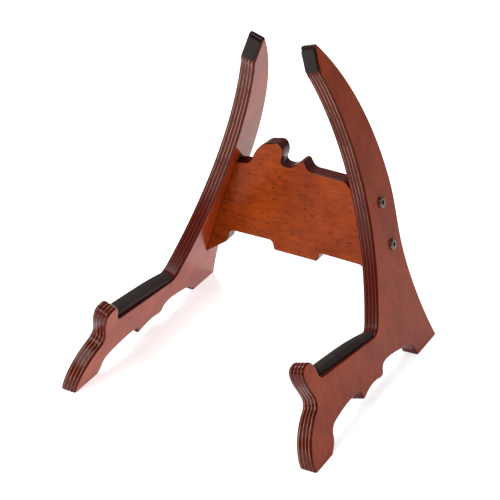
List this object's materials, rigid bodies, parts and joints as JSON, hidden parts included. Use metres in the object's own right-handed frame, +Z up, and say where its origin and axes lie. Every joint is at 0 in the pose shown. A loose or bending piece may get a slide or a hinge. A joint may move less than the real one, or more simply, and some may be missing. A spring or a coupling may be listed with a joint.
{
  "type": "guitar stand",
  "caption": "Knock-down plywood floor stand for a guitar: two leaning side boards with padded arms, hooks and tips, bolted to a shaped cross board.",
  "frame": {"origin": "on the floor, in the middle of the bounding box of the footprint", "axes": "+Z up, front (toes and hooks) towards -Y, cross board towards +Y, +X to the right seen from the front"},
  "size_m": [0.3098, 0.2994, 0.3615],
  "materials": {
    "side_board": "red-brown stained birch plywood, clear gloss lacquer",
    "cross_board": "orange-brown stained plywood, clear gloss lacquer",
    "pad_rubber": "matte charcoal foam rubber",
    "bolt_steel": "dark bronze-black plated steel",
    "nut_steel": "zinc plated steel"
  },
  "bodies": {
    "root": {"left_side_panel": "side_board", "right_side_panel": "side_board", "cross_panel": "cross_board", "left_upper_bolt": "bolt_steel", "left_lower_bolt": "bolt_steel", "left_upper_barrel_nut": "nut_steel", "left_lower_barrel_nut": "nut_steel", "right_upper_bolt": "bolt_steel", "right_lower_bolt": "bolt_steel", "right_upper_barrel_nut": "nut_steel", "right_lower_barrel_nut": "nut_steel", "left_arm_pad": "pad_rubber", "right_arm_pad": "pad_rubber", "left_tip_pad": "pad_rubber", "right_tip_pad": "pad_rubber"}
  },
  "joints": []
}
